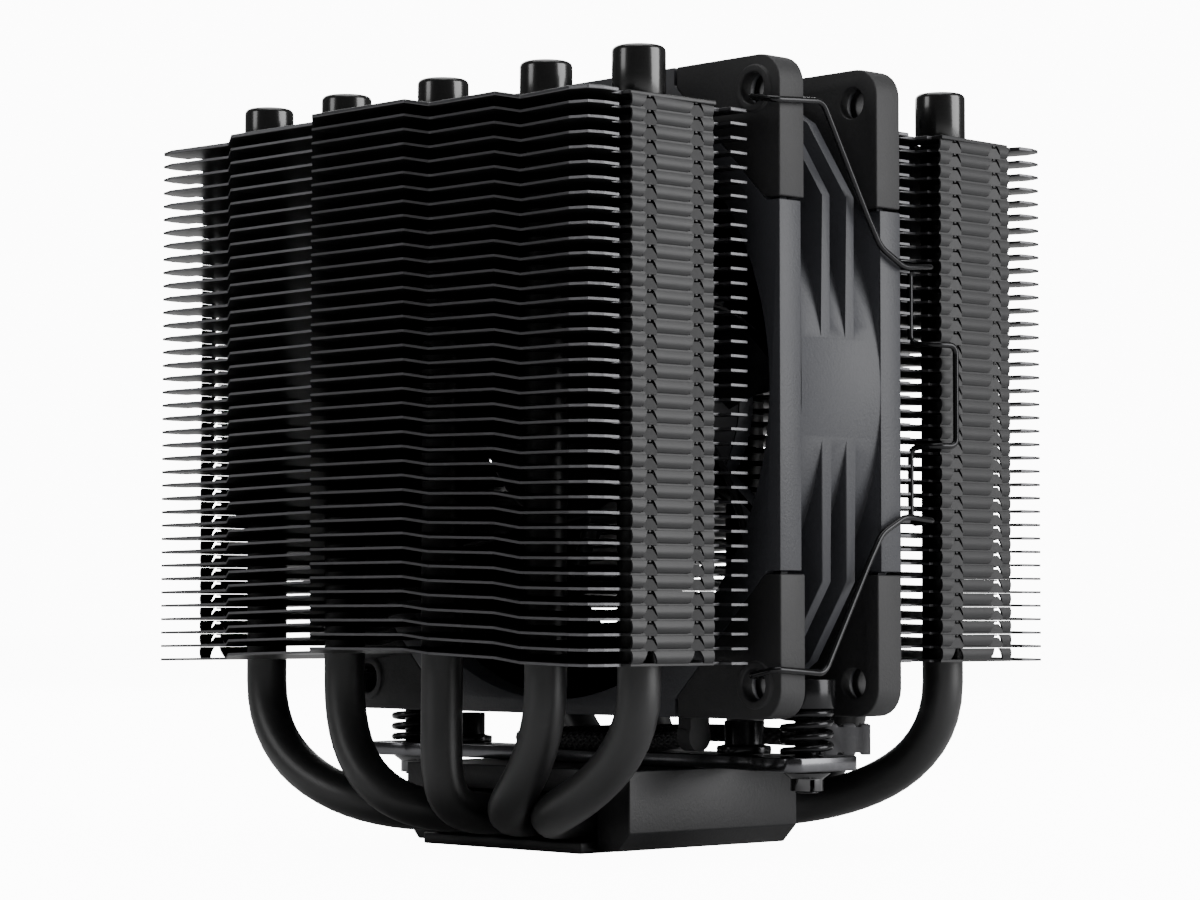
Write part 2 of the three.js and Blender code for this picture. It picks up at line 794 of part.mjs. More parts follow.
function buildLead() {
  const points = leadRoute.map(([x, y, z]) => new THREE.Vector3(x, y, z));
  const route = new THREE.CatmullRomCurve3(points, false, "centripetal");
  addPart("fan_lead", tube(route, cableR, 36, 8), "sleeve");
  const relief = turnedX(
    [
      [0, 0],
      [1.7, 0],
      [2.2, 2.6],
      [0, 2.6],
    ],
    12,
  );
  relief.translate(0, -fanY, -fanZ).rotateZ(-Math.PI / 2).translate(-6.5, -24.9, 16.6);
  addPart("lead_relief", geometryOf(solid(relief)), "rubber");
  const plug = box(-4.4, 4.4, -2.9, 2.9, -2.2, 2.2);
  plug.rotateZ(-Math.PI / 4).translate(16.2, -33.4, 15.8);
  addPart("fan_connector", plug, "plug");
}

buildBase();
buildPipes();
buildTowers();
buildBar();
buildScrews();
buildFan();
buildClips();
buildLead();

export default cooler;
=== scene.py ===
import bmesh
import bpy
import math
from mathutils import Matrix, Vector


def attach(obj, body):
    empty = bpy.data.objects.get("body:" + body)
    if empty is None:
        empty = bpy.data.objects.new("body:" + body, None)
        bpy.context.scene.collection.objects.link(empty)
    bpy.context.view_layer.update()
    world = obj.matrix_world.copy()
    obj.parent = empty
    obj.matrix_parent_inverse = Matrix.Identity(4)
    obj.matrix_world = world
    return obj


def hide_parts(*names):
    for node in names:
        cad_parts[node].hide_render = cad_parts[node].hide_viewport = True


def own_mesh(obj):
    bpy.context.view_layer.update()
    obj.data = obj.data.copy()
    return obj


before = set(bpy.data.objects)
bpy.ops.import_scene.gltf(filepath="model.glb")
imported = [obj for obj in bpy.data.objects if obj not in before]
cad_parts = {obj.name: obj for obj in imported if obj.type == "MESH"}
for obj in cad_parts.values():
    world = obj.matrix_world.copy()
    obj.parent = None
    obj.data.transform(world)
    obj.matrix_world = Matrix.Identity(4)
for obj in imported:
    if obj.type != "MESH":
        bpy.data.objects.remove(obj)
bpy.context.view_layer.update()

mm = 0.001
towerX = 31.2            # pipe legs, from the middle
fanMiddle = Vector((0, -2.8, 65.4))
legSpots = [-40.3, -21.8, 0, 21.8, 40.3]
print("frame loaded:", len(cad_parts), "nodes")


# camera first, low down and a little to the front left
cameraSetup = {
    "place": (-354.6, -370.9, 33.5),
    "turn": -0.763,
    "tilt": 0.0486,
    "lens": 103.0,
}


def setCamera():
    place = Vector(cameraSetup["place"]) * mm
    rotation = (math.pi / 2 + cameraSetup["tilt"], 0, cameraSetup["turn"])
    bpy.ops.object.camera_add(location=place, rotation=rotation)
    camera = bpy.context.object
    camera.name = "camera"
    camera.data.lens = cameraSetup["lens"]
    camera.data.sensor_width = 36
    camera.data.clip_start = 0.01
    camera.data.clip_end = 20
    bpy.context.scene.camera = camera


setCamera()


# small helpers for working by selection
def deselectAll():
    if bpy.context.mode != "OBJECT":
        bpy.ops.object.mode_set(mode="OBJECT")
    bpy.ops.object.select_all(action="DESELECT")


def takeUp(*pieces):
    deselectAll()
    for piece in pieces:
        piece.select_set(True)
    bpy.context.view_layer.objects.active = pieces[0]


def openMesh(piece, kind="FACE"):
    takeUp(piece)
    bpy.ops.object.mode_set(mode="EDIT")
    bpy.ops.mesh.select_mode(type=kind)
    bpy.ops.mesh.select_all(action="SELECT")


def closeMesh():
    bpy.ops.object.mode_set(mode="OBJECT")


def pushOut(way):
    bpy.ops.mesh.extrude_region_move(TRANSFORM_OT_translate={"value": Vector(way) * mm})


def shiftPicked(way):
    bpy.ops.transform.translate(value=Vector(way) * mm)


def pickFaces(piece, test):
    bpy.ops.mesh.select_mode(type="FACE")
    bpy.ops.mesh.select_all(action="DESELECT")
    mesh = bmesh.from_edit_mesh(piece.data)
    for face in mesh.faces:
        if test(face.calc_center_median() / mm, face.normal):
            face.select_set(True)
    bmesh.update_edit_mesh(piece.data)


def pickEdges(piece, test):
    bpy.ops.mesh.select_mode(type="EDGE")
    bpy.ops.mesh.select_all(action="DESELECT")
    mesh = bmesh.from_edit_mesh(piece.data)
    for edge in mesh.edges:
        if test(edge.verts[0].co / mm, edge.verts[1].co / mm):
            edge.select_set(True)
    bmesh.update_edit_mesh(piece.data)


def pickPoints(piece, test):
    bpy.ops.mesh.select_mode(type="VERT")
    bpy.ops.mesh.select_all(action="DESELECT")
    mesh = bmesh.from_edit_mesh(piece.data)
    for point in mesh.verts:
        if test(point.co / mm):
            point.select_set(True)
    bmesh.update_edit_mesh(piece.data)


def settle(piece):
    takeUp(piece)
    bpy.ops.object.transform_apply(location=True, rotation=True, scale=True)
    return piece


def addBlock(name, low, high):
    low, high = Vector(low) * mm, Vector(high) * mm
    bpy.ops.mesh.primitive_cube_add(size=1, location=(low + high) / 2, scale=high - low)
    piece = bpy.context.object
    piece.name = name
    return settle(piece)


def addRod(name, radius, start, end, sides=48):
    start, end = Vector(start) * mm, Vector(end) * mm
    way = end - start
    turn = way.to_track_quat("Z", "Y").to_euler()
    bpy.ops.mesh.primitive_cylinder_add(
        vertices=sides, radius=radius * mm, depth=way.length, location=(start + end) / 2, rotation=turn
    )
    piece = bpy.context.object
    piece.name = name
    return settle(piece)


def applyAll(piece):
    takeUp(piece)
    for modifier in list(piece.modifiers):
        bpy.ops.object.modifier_apply(modifier=modifier.name)


def combine(piece, others, operation):
    for other in others:
        modifier = piece.modifiers.new("join", "BOOLEAN")
        modifier.operation = operation
        modifier.solver = "EXACT"
        modifier.object = other
        applyAll(piece)
        bpy.data.objects.remove(other)
    return piece


def softenEdges(piece, width, segments=2, angle=38):
    modifier = piece.modifiers.new("edges", "BEVEL")
    modifier.width = width * mm
    modifier.segments = segments
    modifier.limit_method = "ANGLE"
    modifier.angle_limit = math.radians(angle)
    modifier.use_clamp_overlap = True
    applyAll(piece)


def smooth(piece, angle=35):
    takeUp(piece)
    bpy.ops.object.shade_smooth_by_angle(angle=math.radians(angle))


def fuse(name, pieces):
    takeUp(*pieces)
    if len(pieces) > 1:
        bpy.ops.object.join()
    piece = bpy.context.object
    piece.name = name
    return piece


def moveBy(piece, way):
    takeUp(piece)
    piece.location = Vector(way) * mm
    return settle(piece)


def turnBy(piece, angle, axis, about=(0, 0, 0)):
    centre = Vector(about) * mm
    turn = Matrix.Rotation(angle, 4, axis)
    piece.matrix_world = Matrix.Translation(centre) @ turn @ Matrix.Translation(-centre)
    return settle(piece)


# draws a closed outline point by point and fills it, as with the extrude key
def drawOutline(name, points):
    bpy.ops.mesh.primitive_plane_add(size=mm, location=(0, 0, 0))
    piece = bpy.context.object
    piece.name = name
    openMesh(piece, "VERT")
    bpy.ops.mesh.merge(type="CENTER")
    here = Vector(points[0]) * mm
    bpy.ops.transform.translate(value=here)
    for point in points[1:]:
        there = Vector(point) * mm
        bpy.ops.mesh.extrude_vertices_move(TRANSFORM_OT_translate={"value": there - here})
        here = there
    bpy.ops.mesh.select_all(action="SELECT")
    bpy.ops.mesh.edge_face_add()
    closeMesh()
    return piece


def thicken(piece, way):
    openMesh(piece)
    pushOut(way)
    bpy.ops.mesh.select_all(action="SELECT")
    bpy.ops.mesh.normals_make_consistent(inside=False)
    closeMesh()
    return piece


def stackUp(piece, count, step):
    modifier = piece.modifiers.new("stack", "ARRAY")
    modifier.count = count
    modifier.use_relative_offset = False
    modifier.use_constant_offset = True
    modifier.constant_offset_displace = Vector(step) * mm
    applyAll(piece)
    return piece


def addTube(name, points, radius, closedEnds=True, sidesLevel=3):
    bpy.ops.curve.primitive_nurbs_path_add()
    piece = bpy.context.object
    piece.name = name
    piece.location = (0, 0, 0)
    line = piece.data
    line.splines.clear()
    spline = line.splines.new("POLY")
    spline.points.add(len(points) - 1)
    for spot, point in zip(spline.points, points):
        spot.co = (*(Vector(point) * mm), 1)
    line.bevel_depth = radius * mm
    line.bevel_resolution = sidesLevel
    line.use_fill_caps = closedEnds
    takeUp(piece)
    bpy.ops.object.convert(target="MESH")
    piece = bpy.context.object
    openMesh(piece)
    bpy.ops.mesh.remove_doubles(threshold=1e-6)
    bpy.ops.mesh.normals_make_consistent(inside=False)
    closeMesh()
    return piece


# turns the corners of a route into short arcs
def roundRoute(points, radius, steps=5):
    points = [Vector(point) for point in points]
    route = [points[0]]
    for before, corner, after in zip(points, points[1:], points[2:]):
        back, ahead = before - corner, after - corner
        reach = min(radius, back.length * 0.45, ahead.length * 0.45)
        first, last = corner + back.normalized() * reach, corner + ahead.normalized() * reach
        for step in range(steps + 1):
            share = step / steps
            low = first.lerp(corner, share)
            high = corner.lerp(last, share)
            route.append(low.lerp(high, share))
    route.append(points[-1])
    return route


def finishPiece(piece, material, body, stands=()):
    if material is not None:
        piece.data.materials.clear()
        piece.data.materials.append(material)
    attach(piece, body)
    if stands:
        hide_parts(*stands)
    return piece


# shared effects: grain on a coating, and the rubbed look along scuffs
def newGroup(name, inputs, outputs):
    group = bpy.data.node_groups.new(name, "ShaderNodeTree")
    for label, value in inputs:
        socket = group.interface.new_socket(name=label, in_out="INPUT", socket_type="NodeSocketFloat")
        socket.default_value = value
    for label, kind in outputs:
        group.interface.new_socket(name=label, in_out="OUTPUT", socket_type=kind)
    ends = group.nodes.new("NodeGroupInput"), group.nodes.new("NodeGroupOutput")
    return group, ends[0], ends[1]


def makeGrainGroup():
    inputs = [("Scale", 900), ("Depth", 0.2), ("Roughness", 0.45), ("Spread", 0.1)]
    number, vector = "NodeSocketFloat", "NodeSocketVector"
    outputs = [("Roughness", number), ("Normal", vector), ("Clouds", number)]
    group, start, end = newGroup("grain", inputs, outputs)
    nodes, links = group.nodes, group.links
    place = nodes.new("ShaderNodeTexCoord")
    fine = nodes.new("ShaderNodeTexNoise")
    fine.inputs["Detail"].default_value = 3
    links.new(place.outputs["Object"], fine.inputs["Vector"])
    links.new(start.outputs["Scale"], fine.inputs["Scale"])
    broad = nodes.new("ShaderNodeTexNoise")
    broad.inputs["Scale"].default_value = 55
    broad.inputs["Detail"].default_value = 4
    links.new(place.outputs["Object"], broad.inputs["Vector"])
    centred = nodes.new("ShaderNodeMath")
    centred.operation = "SUBTRACT"
    centred.inputs[1].default_value = 0.5
    links.new(broad.outputs["Fac"], centred.inputs[0])
    spread = nodes.new("ShaderNodeMath")
    spread.operation = "MULTIPLY_ADD"
    links.new(centred.outputs[0], spread.inputs[0])
    links.new(start.outputs["Spread"], spread.inputs[1])
    links.new(start.outputs["Roughness"], spread.inputs[2])
    bump = nodes.new("ShaderNodeBump")
    bump.inputs["Distance"].default_value = 0.0001
    links.new(start.outputs["Depth"], bump.inputs["Strength"])
    links.new(fine.outputs["Fac"], bump.inputs["Height"])
    links.new(spread.outputs[0], end.inputs["Roughness"])
    links.new(bump.outputs["Normal"], end.inputs["Normal"])
    links.new(broad.outputs["Fac"], end.inputs["Clouds"])
    return group


def makeScuffGroup():
    inputs = [("Scale", 260), ("Amount", 0.3)]
    group, start, end = newGroup("scuffs", inputs, [("Mask", "NodeSocketFloat")])
    nodes, links = group.nodes, group.links
    place = nodes.new("ShaderNodeTexCoord")
    noise = nodes.new("ShaderNodeTexNoise")
    noise.inputs["Detail"].default_value = 6
    noise.inputs["Roughness"].default_value = 0.7
    links.new(place.outputs["Object"], noise.inputs["Vector"])
    links.new(start.outputs["Scale"], noise.inputs["Scale"])
    ramp = nodes.new("ShaderNodeMapRange")
    ramp.inputs["From Min"].default_value = 0.56
    ramp.inputs["From Max"].default_value = 0.74
    links.new(noise.outputs["Fac"], ramp.inputs["Value"])
    gain = nodes.new("ShaderNodeMath")
    gain.operation = "MULTIPLY"
    links.new(ramp.outputs["Result"], gain.inputs[0])
    links.new(start.outputs["Amount"], gain.inputs[1])
    links.new(gain.outputs[0], end.inputs["Mask"])
    return group


grainGroup = makeGrainGroup()
scuffGroup = makeScuffGroup()


# one finish: two colours mixed by scuffs and clouds, with grain under it
def makeFinish(name, look):
    material = bpy.data.materials.new(name)
    material.use_nodes = True
    nodes, links = material.node_tree.nodes, material.node_tree.links
    shader = nodes["Principled BSDF"]
    shader.inputs["Metallic"].default_value = look.get("metal", 0)
    shader.inputs["IOR"].default_value = look.get("ior", 1.5)
    shader.inputs["Coat Weight"].default_value = look.get("coat", 0)
    shader.inputs["Coat Roughness"].default_value = look.get("coatRoughness", 0.1)
    grain = nodes.new("ShaderNodeGroup")
    grain.node_tree = grainGroup
    grain.inputs["Scale"].default_value = look.get("grain", 900)
    grain.inputs["Depth"].default_value = look.get("depth", 0.2)
    grain.inputs["Roughness"].default_value = look["roughness"]
    grain.inputs["Spread"].default_value = look.get("spread", 0.15)
    scuffs = nodes.new("ShaderNodeGroup")
    scuffs.node_tree = scuffGroup
    scuffs.inputs["Scale"].default_value = look.get("scuffScale", 260)
    scuffs.inputs["Amount"].default_value = look.get("scuffs", 0.25)
    clouds = nodes.new("ShaderNodeMix")
    clouds.data_type = "RGBA"
    clouds.inputs["A"].default_value = (*look["color"], 1)
    clouds.inputs["B"].default_value = (*look.get("cloudColor", [c * 1.5 for c in look["color"]]), 1)
    links.new(grain.outputs["Clouds"], clouds.inputs["Factor"])
    worn = nodes.new("ShaderNodeMix")
    worn.data_type = "RGBA"
    worn.inputs["B"].default_value = (*look.get("wornColor", [min(1, c * 3) for c in look["color"]]), 1)
    links.new(scuffs.outputs["Mask"], worn.inputs["Factor"])
    links.new(clouds.outputs["Result"], worn.inputs["A"])
    links.new(worn.outputs["Result"], shader.inputs["Base Color"])
    links.new(grain.outputs["Roughness"], shader.inputs["Roughness"])
    links.new(grain.outputs["Normal"], shader.inputs["Normal"])
    return material


finishes = {
    "finCoat": {"color": (0.010, 0.010, 0.011), "roughness": 0.42, "metal": 0.2, "grain": 1400,
        "depth": 0.15},
    # lighter grey for the cut edges: partly bare metal, partly a painted highlight
    "finEdgeBareAndHighlight": {"color": (0.09, 0.09, 0.095), "roughness": 0.35, "metal": 0.7, "grain": 1600,
        "depth": 0.2},
    "pipeCoat": {"color": (0.010, 0.010, 0.0105), "roughness": 0.4, "grain": 1100, "depth": 0.12,
        "spread": 0.12},
    "capGloss": {"color": (0.006, 0.006, 0.006), "roughness": 0.24, "coat": 0.5, "coatRoughness": 0.12,
        "grain": 500, "depth": 0.05, "scuffs": 0.12},
    "plateMetal": {"color": (0.02, 0.02, 0.021), "roughness": 0.3, "metal": 0.6, "grain": 1800,
        "depth": 0.15},
    "blockAnodised": {"color": (0.014, 0.014, 0.015), "roughness": 0.4, "metal": 0.3, "grain": 2600,
        "depth": 0.25, "spread": 0.08, "scuffs": 0.1},
    "barPlate": {"color": (0.09, 0.09, 0.095), "roughness": 0.16, "metal": 0.95, "grain": 700,
        "depth": 0.06},
    "blackSteel": {"color": (0.018, 0.018, 0.019), "roughness": 0.2, "metal": 0.75, "grain": 900,
        "depth": 0.08},
    "brightSteel": {"color": (0.34, 0.34, 0.35), "roughness": 0.2, "metal": 1, "grain": 900,
        "depth": 0.1},
    "collarSteel": {"color": (0.09, 0.09, 0.092), "roughness": 0.18, "metal": 1, "grain": 900,
        "depth": 0.1},
    "framePlastic": {"color": (0.030, 0.031, 0.036), "roughness": 0.5, "grain": 2400, "depth": 0.5,
        "spread": 0.1, "scuffs": 0.12, "wornColor": (0.06, 0.06, 0.068)},
    "rotorPlastic": {"color": (0.016, 0.016, 0.018), "roughness": 0.42, "grain": 1700, "depth": 0.2},
    "padRubber": {"color": (0.014, 0.014, 0.015), "roughness": 0.62, "grain": 2200, "depth": 0.45,
        "spread": 0.2, "wornColor": (0.026, 0.026, 0.028)},
    "ferrite": {"color": (0.03, 0.03, 0.031), "roughness": 0.7, "grain": 1300, "depth": 0.4},
    "bearingBronze": {"color": (0.42, 0.26, 0.11), "roughness": 0.35, "metal": 1, "grain": 1500,
        "depth": 0.3},
    "boardMask": {"color": (0.01, 0.06, 0.03), "roughness": 0.35, "grain": 700, "depth": 0.1},
    "plugNylon": {"color": (0.07, 0.07, 0.074), "roughness": 0.5, "grain": 1200, "depth": 0.2},
}
finish = {name: makeFinish(name, look) for name, look in finishes.items()}
print("finishes made:", len(finish))


# fins: every fin of both towers, with the folded and hooked edges that clip them together
finSize = {
    "bottom": 27.0,
    "pitch": 2.0,
    "count": 38,
    "thick": 0.34,
    "holeRadius": 3.12,
    "coverHole": 3.85,
    "coverZ": 102.83,
    "foldFace": 47.1,
    "foldDeep": 0.32,
    "foldStart": 23.4,
}
finHalf = [
    (47.3, 10.1), (45, 12.8), (47.3, 28.9), (45.4, 32), (47.3, 43.6), (46.5, 46.4),
    (44.2, 47.1), (41.4, 47), (41.2, 45.3), (39.4, 45.3), (39, 46.7), (23.4, 46.7),
    (23.4, 45.3), (22.5, 45.3), (22.5, 43), (18.5, 43), (18.5, 45.3), (15.3, 45.3),
]
# how far a fin stands above its edge at a distance from the middle: two soft folds
finRise = [(0, 1.9), (10.1, 1.9), (12.8, 1.35), (28.9, 0.9), (32, 0.25), (45.3, 0), (60, 0)]


def finOutline(sign, z, sideReach=0):
    half = [(x, y + (sideReach if 23.3 < x < 39 and y > 46 else 0)) for x, y in finHalf]
    near = [(sign * x, -y, z) for x, y in half]
    far = [(sign * x, y, z) for x, y in reversed(half)]
    return near + far


def riseAt(reach):
    for (near, high), (far, low) in zip(finRise, finRise[1:]):
        if reach <= far:
            return high + (low - high) * (reach - near) / (far - near)
    return 0


def foldFin(fin):
    openMesh(fin)
    for reach, rise in finRise[1:-1]:
        for side in (-1, 1):
            bpy.ops.mesh.select_all(action="SELECT")
            bpy.ops.mesh.bisect(plane_co=(0, side * reach * mm, 0), plane_no=(0, 1, 0))
    mesh = bmesh.from_edit_mesh(fin.data)
    for point in mesh.verts:
        point.co.z += riseAt(abs(point.co.y) / mm) * mm
    bmesh.update_edit_mesh(fin.data)
    closeMesh()
    return fin


def makeFinSheet(name, sign, z, thick, holeRadius, sideReach=0):
    fin = drawOutline(name, finOutline(sign, z, sideReach))
    thicken(fin, (0, 0, thick))
    holes = []
    for y in legSpots:
        foot, head = (sign * towerX, y, z - 1), (sign * towerX, y, z + thick + 1)
        holes.append(addRod("hole", holeRadius, foot, head, 24))
    combine(fin, [fuse("holes", holes)], "DIFFERENCE")
    return foldFin(fin)


# cut edges get a lighter grey than the flat faces: partly bare edge metal, partly a painted highlight where
# the edges catch the light
def paintFin(fin):
    fin.data.materials.clear()
    fin.data.materials.append(finish["finCoat"])
    fin.data.materials.append(finish["finEdgeBareAndHighlight"])
    for face in fin.data.polygons:
        middle = face.center / mm
        underFolds = 23.3 < abs(middle.x) < 39.3 and abs(middle.y) > 44.9
        # faces turned sideways take the lighter grey, a painted highlight on the bare edges
        rim = abs(face.normal.z) < 0.5 and not underFolds
        face.material_index = 1 if rim else 0


# one fold unit on the near side of the rear tower, p along X from its start and q up
foldPanels = [
    [(0, 0.12), (1.7, 0.12), (2.0, 0.5), (2.9, 1.97), (0, 1.97)],
    [(4.85, 0.12), (10.55, 0.12), (10.9, 0.5), (11.75, 1.97), (4.0, 1.97)],
    [(13.75, 0.12), (15.4, 0.12), (15.4, 1.97), (12.85, 1.97)],
]
# the folded edge in section: how far out it stands at each height
foldSection = [(0.06, 46.45), (0.22, 46.78), (0.55, 46.98), (1.05, 47.1), (1.5, 47.08), (1.98, 46.92)]
foldHooks = [(2.15, 4.5, 3.55, 2.95), (11.05, 13.4, 12.4, 11.8)]


def foldReach(height):
    for (low, first), (high, last) in zip(foldSection, foldSection[1:]):
        if height <= high:
            return first + (last - first) * (max(height, low) - low) / (high - low)
    return foldSection[-1][1]


def makeFoldPanels():
    face, start = finSize["foldFace"], finSize["foldStart"]
    plates = []
    for outline in foldPanels:
        points = [(start + p, -face, finSize["bottom"] + q) for p, q in outline]
        plates.append(thicken(drawOutline("foldPanel", points), (0, finSize["foldDeep"], 0)))
    panel = fuse("foldPanels", plates)
    # the lower edge rolls inward, towards its own fin
    openMesh(panel)
    for height, reach in foldSection[1:-1]:
        bpy.ops.mesh.select_all(action="SELECT")
        bpy.ops.mesh.bisect(plane_co=(0, 0, (finSize["bottom"] + height) * mm), plane_no=(0, 0, 1))
    mesh = bmesh.from_edit_mesh(panel.data)
    for point in mesh.verts:
        height = point.co.z / mm - finSize["bottom"]
        point.co.y += (face - foldReach(height)) * mm
    bmesh.update_edit_mesh(panel.data)
    closeMesh()
    return panel


def makeFoldHooks():
    face, start, floor = finSize["foldFace"], finSize["foldStart"], finSize["bottom"]
    parts = []
    for left, right, topRight, topLeft in foldHooks:
        y = -face + 0.12
        points = [(left, 0.0), (right, 0.0), (right, 0.55), (topRight + 0.05, 1.5), (topLeft, 1.5)]
        strap = drawOutline("strap", [(start + p, y, floor + q) for p, q in points])
        thicken(strap, (0, 0.25, 0))
        # the strap leans: its left side sinks behind the panel and its right side stands out
        openMesh(strap)
        middle = start + (left + right) / 2
        pickPoints(strap, lambda p: p.x < middle - 0.35)
        shiftPicked((0, 0.42, 0))
        pickPoints(strap, lambda p: p.x > middle + 0.2)
        shiftPicked((0, -0.12, 0))
        closeMesh()
        parts.append(strap)
        lug = addBlock("lug", (start + topLeft + 0.12, -face + 0.1, floor + 1.72),
                       (start + topRight - 0.1, -face + 0.6, floor + 1.95))
        parts.append(lug)
    return fuse("foldHooks", parts)


def makeFolds(name, shift, turn):
    panels = stackUp(makeFoldPanels(), finSize["count"], (0, 0, finSize["pitch"]))
    hooks = makeFoldHooks()
    moveBy(hooks, (0, 0, finSize["pitch"]))
    stackUp(hooks, finSize["count"] - 1, (0, 0, finSize["pitch"]))
    folds = fuse(name, [panels, hooks])
    folds.data.materials.clear()
    folds.data.materials.append(finish["finCoat"])
    if turn:
        turnBy(folds, math.pi, "Z")
    return moveBy(folds, (shift, 0, 0))


def makeTower(place, sign):
    fin = makeFinSheet("fin", sign, finSize["bottom"], finSize["thick"], finSize["holeRadius"])
    paintFin(fin)
    smooth(fin, 8)
    stackUp(fin, finSize["count"], (0, 0, finSize["pitch"]))
    nearShift = 0 if sign > 0 else -2 * towerX
    farShift = 2 * towerX if sign > 0 else 0
    near = makeFolds("nearFolds", nearShift, False)
    far = makeFolds("farFolds", farShift, True)
    for folds in (near, far):
        # second slot with the lighter edge grey, partly a painted highlight
        folds.data.materials.append(finish["finEdgeBareAndHighlight"])
        smooth(folds, 30)
    tower = fuse(f"{place}FinStack", [fin, near, far])
    finishPiece(tower, None, "cooler", [f"fin_stack_{place}"])
    cover = makeFinSheet(f"{place}CoverFin", sign, finSize["coverZ"], 0.55, finSize["coverHole"], 0.7)
    paintFin(cover)
    softenEdges(cover, 0.12, 2)
    smooth(cover, 8)
    finishPiece(cover, None, "cooler", [f"top_fin_{place}"])


makeTower("front", -1)
makeTower("rear", 1)
print("fin towers made")


# heat pipes: two legs up through the towers and a run through the base
pipeSize = {"radius": 3.0, "top": 107.4, "bendTop": 24, "baseZ": 5, "entry": 18, "basePitch": 6.9}


def makePipe(index, legY):
    size = pipeSize
    baseY = (index - 2) * size["basePitch"]
    bpy.ops.curve.primitive_bezier_curve_add()
    pipe = bpy.context.object
    pipe.location = (0, 0, 0)
    line = pipe.data
    spline = line.splines[0]
    spline.bezier_points.add(4)
    spots = []
    for sign in (-1, 1):
        leg = [
            ((sign * towerX, legY, size["top"]), (sign * towerX, legY, 90), (sign * towerX, legY, 60)),
            ((sign * towerX, legY, size["bendTop"]), (sign * towerX, legY, 60), (sign * towerX, legY, 8)),
            ((sign * size["entry"], baseY, size["baseZ"]), (sign * 33, baseY, size["baseZ"]),
             (sign * 8, baseY, size["baseZ"])),
        ]
        spots += leg if sign < 0 else [(p, after, before) for p, before, after in reversed(leg)]
    for point, (place, before, after) in zip(spline.bezier_points, spots):
        point.handle_left_type = point.handle_right_type = "FREE"
        point.co = Vector(place) * mm
        point.handle_left = Vector(before) * mm
        point.handle_right = Vector(after) * mm
    spline.resolution_u = 18
    line.bevel_depth = size["radius"] * mm
    line.bevel_resolution = 8
    line.use_fill_caps = True
    takeUp(pipe)
    bpy.ops.object.convert(target="MESH")
    pipe = bpy.context.object
    openMesh(pipe)
    bpy.ops.mesh.remove_doubles(threshold=1e-6)
    bpy.ops.mesh.normals_make_consistent(inside=False)
    closeMesh()
    pipe.name = f"heatPipe{index + 1}"
    smooth(pipe, 50)
    finishPiece(pipe, finish["pipeCoat"], "cooler", [f"heat_pipe_{index + 1}"])


for index, legY in enumerate(legSpots):
    makePipe(index, legY)
print("heat pipes made")


# caps over the pipe ends
capSize = {"radius": 3.7, "bottom": 103.7, "top": 110.8, "bore": 3.3, "boreTop": 107.7, "rim": 0.8}


def makeCap(name, x, y):
    size = capSize
    cap = addRod(name, size["radius"], (x, y, size["bottom"]), (x, y, size["top"]), 64)
    openMesh(cap)
    pickFaces(cap, lambda middle, normal: normal.z < -0.9)
    bpy.ops.mesh.inset(thickness=(size["radius"] - size["bore"]) * mm, depth=0)
    depth = size["boreTop"] - size["bottom"]
    pushOut((0, 0, depth))
    pickEdges(cap, lambda a, b: a.z > size["top"] - 0.01 and b.z > size["top"] - 0.01)
    bpy.ops.mesh.bevel(offset=size["rim"] * mm, segments=5, affect="EDGES")
    pickEdges(cap, lambda a, b: max(a.z, b.z) < size["bottom"] + 0.01)
    bpy.ops.mesh.bevel(offset=0.12 * mm, segments=2, affect="EDGES")
    closeMesh()
    smooth(cap, 40)
    return cap


for place, sign in (("front", -1), ("rear", 1)):
    for index, legY in enumerate(legSpots):
        cap = makeCap(f"{place}PipeCap{index + 1}", sign * towerX, legY)
        finishPiece(cap, finish["capGloss"], "cooler", [f"pipe_cap_{place}_{index + 1}"])
print("pipe caps made")


# base: cold plate and the bevelled block over the pipes
baseSize = {"blockX": 17.2, "blockY": 24, "top": 11.85, "bottom": 0.4, "bevel": 2.6, "channelY": 17.35,
            "channelTop": 8.3, "plateX": 20, "plateY": 17, "plateThick": 1.7}


def makeBase():
    size = baseSize
    x, y = size["plateX"], size["plateY"]
    plate = addBlock("coldPlate", (-x, -y, 0), (x, y, size["plateThick"]))
    softenEdges(plate, 0.3, 3)
    smooth(plate, 40)
    finishPiece(plate, finish["plateMetal"], "cooler", ["cold_plate"])
    low = size["bottom"] + size["bevel"]
    inner = size["blockY"] - size["bevel"]
    half = [(size["channelY"], size["channelTop"]), (size["channelY"], size["bottom"]),
            (inner, size["bottom"]), (size["blockY"], low), (size["blockY"], size["top"])]
    side = half + [(-y, z) for y, z in reversed(half)]
    block = drawOutline("baseBlock", [(-size["blockX"], y, z) for y, z in side])
    thicken(block, (2 * size["blockX"], 0, 0))
    softenEdges(block, 0.22, 3)
    smooth(block, 40)
    finishPiece(block, finish["blockAnodised"], "cooler", ["base_block"])


makeBase()
print("base made")


# mounting bar and what stands on it
barSize = {"bottom": 12.0, "thick": 2.0, "ear": 7.0, "earEnd": 46.3, "waist": 4.6, "neck": 26, "shoulder": 38,
           "screwY": 42, "hole": 2.1}


def barOutline():
    size = barSize
    quarter = [(size["waist"], size["neck"])]
    for step in range(1, 9):
        share = step / 8
        first = (1 - share) ** 2
        second = 2 * share * (1 - share)
        x = first * size["waist"] + second * size["waist"] + share ** 2 * size["ear"]
        y = first * size["neck"] + second * (size["shoulder"] - 4) + share ** 2 * size["shoulder"]
        quarter.append((x, y))
    round = 2.2
    for step in range(0, 7):
        angle = math.radians(15 * step)
        centre = (size["ear"] - round, size["earEnd"] - round)
        quarter.append((centre[0] + round * math.cos(angle), centre[1] + round * math.sin(angle)))
    far = quarter + [(-x, y) for x, y in reversed(quarter)]
    return far + [(-x, -y) for x, y in far]


